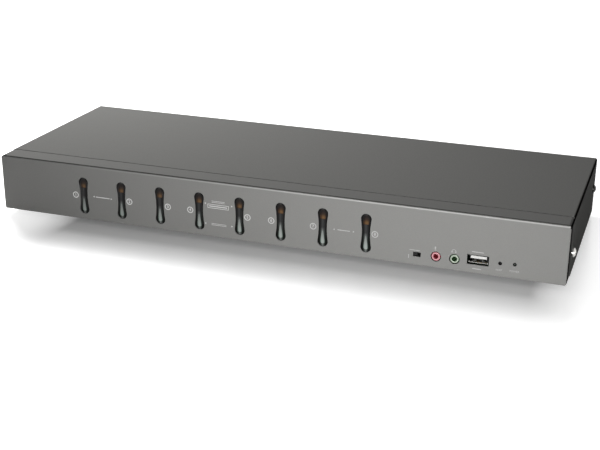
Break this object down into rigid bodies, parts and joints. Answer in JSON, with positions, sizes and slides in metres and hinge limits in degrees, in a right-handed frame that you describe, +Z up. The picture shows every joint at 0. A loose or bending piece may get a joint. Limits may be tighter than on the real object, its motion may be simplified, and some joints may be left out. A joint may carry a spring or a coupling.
{
  "type": "kvm switch",
  "caption": "Slim rack-width KVM switch: gunmetal steel case with a flush bezel, a row of waisted lamp-lit port keys, front USB and audio sockets, and video sockets behind.",
  "frame": {"origin": "centre of the footprint on the plane under the rubber feet", "axes": "+X to the right seen from the front, +Y from the front bezel to the rear panel, +Z up"},
  "size_m": [0.4368, 0.1622, 0.0467],
  "materials": {
    "bezel_paint": "satin gunmetal paint on moulded plastic",
    "case_paint": "satin gunmetal powder coat on steel sheet",
    "rubber": "matte black",
    "nickel": "nickel plated",
    "gloss_black": "polished black",
    "smoked_lens": "smoked amber and green windows",
    "dark_lens": "smoked lens, unlit",
    "board": "green solder mask",
    "board_tan": "tan phenolic",
    "black_plastic": "fine matte",
    "white_plastic": "plain white moulding",
    "grey_plastic": "flat cable",
    "jack_pink": "coloured moulding",
    "jack_green": "coloured moulding",
    "led": "clear resin",
    "brass": "plain",
    "winding": "yellow tape over ferrite",
    "capacitor": "dark sleeve",
    "cooler": "extruded"
  },
  "bodies": {
    "case": {"front_bezel": "bezel_paint", "top_cover": "case_paint", "base_tray": "case_paint", "rear_panel": "case_paint", "rubber_feet": "rubber", "side_screws": "nickel", "base_screws": "nickel", "bezel_screws": "nickel", "key_board": "board", "key_switches": "black_plastic", "port_leds": "led", "mode_switch_body": "black_plastic", "reset_switch": "black_plastic", "power_lamp": "dark_lens", "mic_jacks": "jack_pink", "speaker_jacks": "jack_green", "usb_a_shells": "nickel", "usb_a_tongues": "white_plastic", "dvi_shells": "nickel", "dvi_inserts": "white_plastic", "jack_nuts": "nickel", "usb_b_shells": "nickel", "usb_b_cores": "white_plastic", "upgrade_socket": "black_plastic", "mains_inlet": "black_plastic", "mains_pins": "nickel", "power_switch_body": "black_plastic", "ground_screw": "brass", "lower_board": "board", "upper_board": "board", "board_pillars": "brass", "board_screws": "nickel", "power_board": "board_tan", "transformer": "winding", "capacitors": "capacitor", "switch_chips": "black_plastic", "chip_coolers": "cooler", "board_link": "black_plastic", "key_cable": "grey_plastic"},
    "key_1": {"port_key_1": "gloss_black", "light_guide_1": "smoked_lens"},
    "key_2": {"port_key_2": "gloss_black", "light_guide_2": "smoked_lens"},
    "key_3": {"port_key_3": "gloss_black", "light_guide_3": "smoked_lens"},
    "key_4": {"port_key_4": "gloss_black", "light_guide_4": "smoked_lens"},
    "key_5": {"port_key_5": "gloss_black", "light_guide_5": "smoked_lens"},
    "key_6": {"port_key_6": "gloss_black", "light_guide_6": "smoked_lens"},
    "key_7": {"port_key_7": "gloss_black", "light_guide_7": "smoked_lens"},
    "key_8": {"port_key_8": "gloss_black", "light_guide_8": "smoked_lens"},
    "mode_slider": {"mode_switch_slider": "black_plastic"},
    "reset_plunger": {"reset_button": "black_plastic"},
    "rocker": {"power_rocker": "gloss_black"}
  },
  "joints": [
    {"name": "key_press_1", "type": "slide", "parent": "case", "child": "key_1", "axis": [0, 1, 0], "range_m": [0, 0.0008], "stiffness_N_per_m": 1800},
    {"name": "key_press_2", "type": "slide", "parent": "case", "child": "key_2", "axis": [0, 1, 0], "range_m": [0, 0.0008], "stiffness_N_per_m": 1800},
    {"name": "key_press_3", "type": "slide", "parent": "case", "child": "key_3", "axis": [0, 1, 0], "range_m": [0, 0.0008], "stiffness_N_per_m": 1800},
    {"name": "key_press_4", "type": "slide", "parent": "case", "child": "key_4", "axis": [0, 1, 0], "range_m": [0, 0.0008], "stiffness_N_per_m": 1800},
    {"name": "key_press_5", "type": "slide", "parent": "case", "child": "key_5", "axis": [0, 1, 0], "range_m": [0, 0.0008], "stiffness_N_per_m": 1800},
    {"name": "key_press_6", "type": "slide", "parent": "case", "child": "key_6", "axis": [0, 1, 0], "range_m": [0, 0.0008], "stiffness_N_per_m": 1800},
    {"name": "key_press_7", "type": "slide", "parent": "case", "child": "key_7", "axis": [0, 1, 0], "range_m": [0, 0.0008], "stiffness_N_per_m": 1800},
    {"name": "key_press_8", "type": "slide", "parent": "case", "child": "key_8", "axis": [0, 1, 0], "range_m": [0, 0.0008], "stiffness_N_per_m": 1800},
    {"name": "mode_slide", "type": "slide", "parent": "case", "child": "mode_slider", "axis": [1, 0, 0], "range_m": [0, 0.002]},
    {"name": "reset_press", "type": "slide", "parent": "case", "child": "reset_plunger", "axis": [0, 1, 0], "range_m": [0, 0.0004], "stiffness_N_per_m": 2000},
    {"name": "power_rock", "type": "hinge", "parent": "case", "child": "rocker", "pos_m": [0.2025, 0.07545, 0.0255], "axis": [1, 0, 0], "range_deg": [0, 22]}
  ]
}
